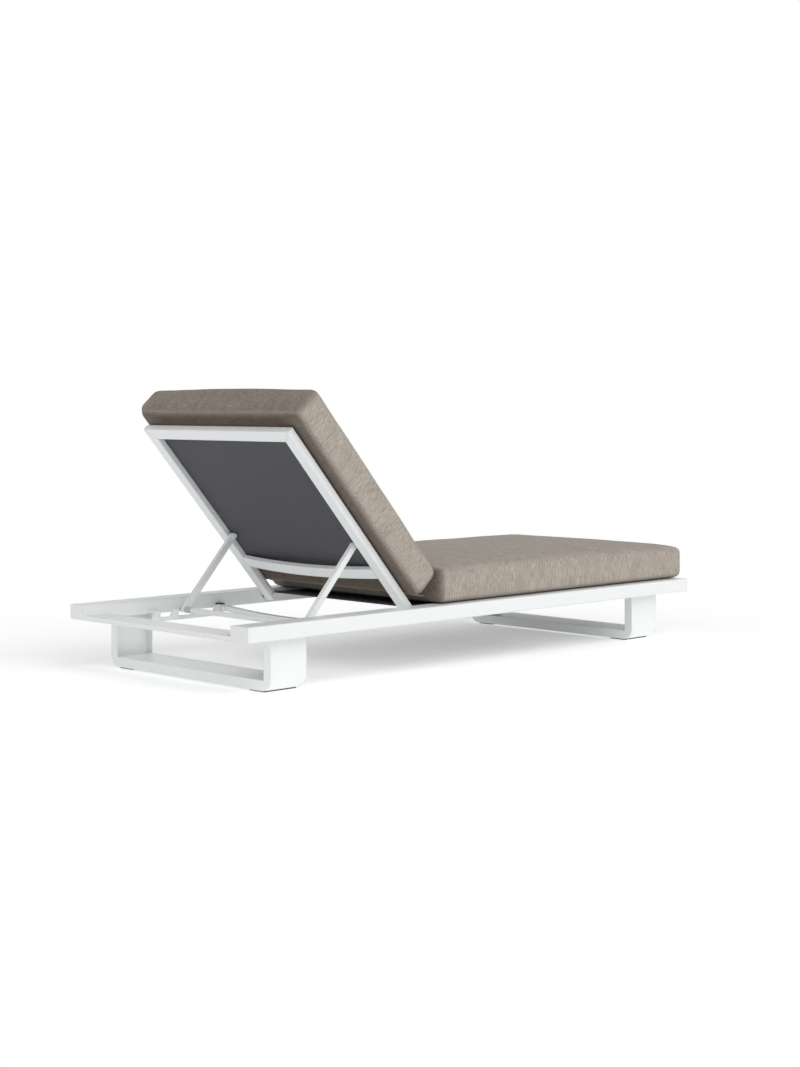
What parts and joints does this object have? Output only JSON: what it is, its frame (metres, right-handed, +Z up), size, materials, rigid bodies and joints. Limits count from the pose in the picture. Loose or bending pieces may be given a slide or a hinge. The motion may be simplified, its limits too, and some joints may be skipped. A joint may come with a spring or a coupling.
{
  "type": "relaxation lounger",
  "caption": "Low sun and spa lounger on sled legs, with a ratcheted reclining backrest, sling decks and thick seat and back cushions.",
  "frame": {"origin": "middle of the lounger on the floor, between the legs", "axes": "+Y towards the head end, +X towards the left of someone lying on it, +Z up"},
  "size_m": [0.84, 2, 0.8586],
  "materials": {
    "powder_coat": "white powder coat, satin",
    "end_cap_paint": "white, satin",
    "sling_mesh": "dark grey woven mesh",
    "cushion_fabric": "taupe melange weave",
    "black_nylon": "moulded, matt",
    "fastener_steel": "stainless, satin"
  },
  "bodies": {
    "base": {"side_rail_left": "powder_coat", "side_rail_right": "powder_coat", "head_cross_plate": "powder_coat", "foot_cross_plate": "powder_coat", "head_leg": "powder_coat", "foot_leg": "powder_coat", "ratchet_cross_tube": "powder_coat", "seat_cross_tube_head": "powder_coat", "seat_cross_tube_foot": "powder_coat", "rack_left": "powder_coat", "rack_right": "powder_coat", "rack_bracket_left": "powder_coat", "rack_bracket_right": "powder_coat", "sling_track_left": "powder_coat", "sling_track_right": "powder_coat", "end_cap_head_left": "end_cap_paint", "end_cap_head_right": "end_cap_paint", "end_cap_foot_left": "end_cap_paint", "end_cap_foot_right": "end_cap_paint", "glide_head_left": "black_nylon", "glide_head_right": "black_nylon", "glide_foot_left": "black_nylon", "glide_foot_right": "black_nylon", "ratchet_tube_sockets": "black_nylon", "seat_tube_sockets_head": "black_nylon", "seat_tube_sockets_foot": "black_nylon", "seat_sling_rods": "black_nylon", "hinge_washer_left": "black_nylon", "hinge_washer_right": "black_nylon", "seat_sling": "sling_mesh", "hinge_bolt_left": "fastener_steel", "hinge_bolt_right": "fastener_steel", "hinge_nuts": "fastener_steel", "seat_cushion": "cushion_fabric"},
    "backrest": {"backrest_side_left": "powder_coat", "backrest_side_right": "powder_coat", "backrest_top_tube": "powder_coat", "backrest_lower_tube": "powder_coat", "backrest_sling": "sling_mesh", "backrest_sling_rods": "black_nylon", "hinge_bush_left": "black_nylon", "hinge_bush_right": "black_nylon", "stay_spacer_left": "black_nylon", "stay_spacer_right": "black_nylon", "stay_pin_left": "fastener_steel", "stay_pin_right": "fastener_steel", "back_cushion": "cushion_fabric", "cushion_straps": "cushion_fabric"},
    "stay": {"stay_left": "powder_coat", "stay_right": "powder_coat", "foot_bar": "powder_coat", "foot_bar_sleeve_left": "black_nylon", "foot_bar_sleeve_right": "black_nylon", "foot_bar_tip_left": "black_nylon", "foot_bar_tip_right": "black_nylon"}
  },
  "joints": [
    {"name": "backrest_tilt", "type": "hinge", "parent": "base", "child": "backrest", "pos_m": [0, 0.284, 0.183], "axis": [1, 0, 0], "range_deg": [-48.5, 10.5]},
    {"name": "stay_swing", "type": "hinge", "parent": "backrest", "child": "stay", "pos_m": [0, 0.47262, 0.38865], "axis": [1, 0, 0], "range_deg": [-21, 97]}
  ],
  "couplings": [
    {"joint": "stay_swing", "follows": "backrest_tilt", "ratio": -2}
  ]
}
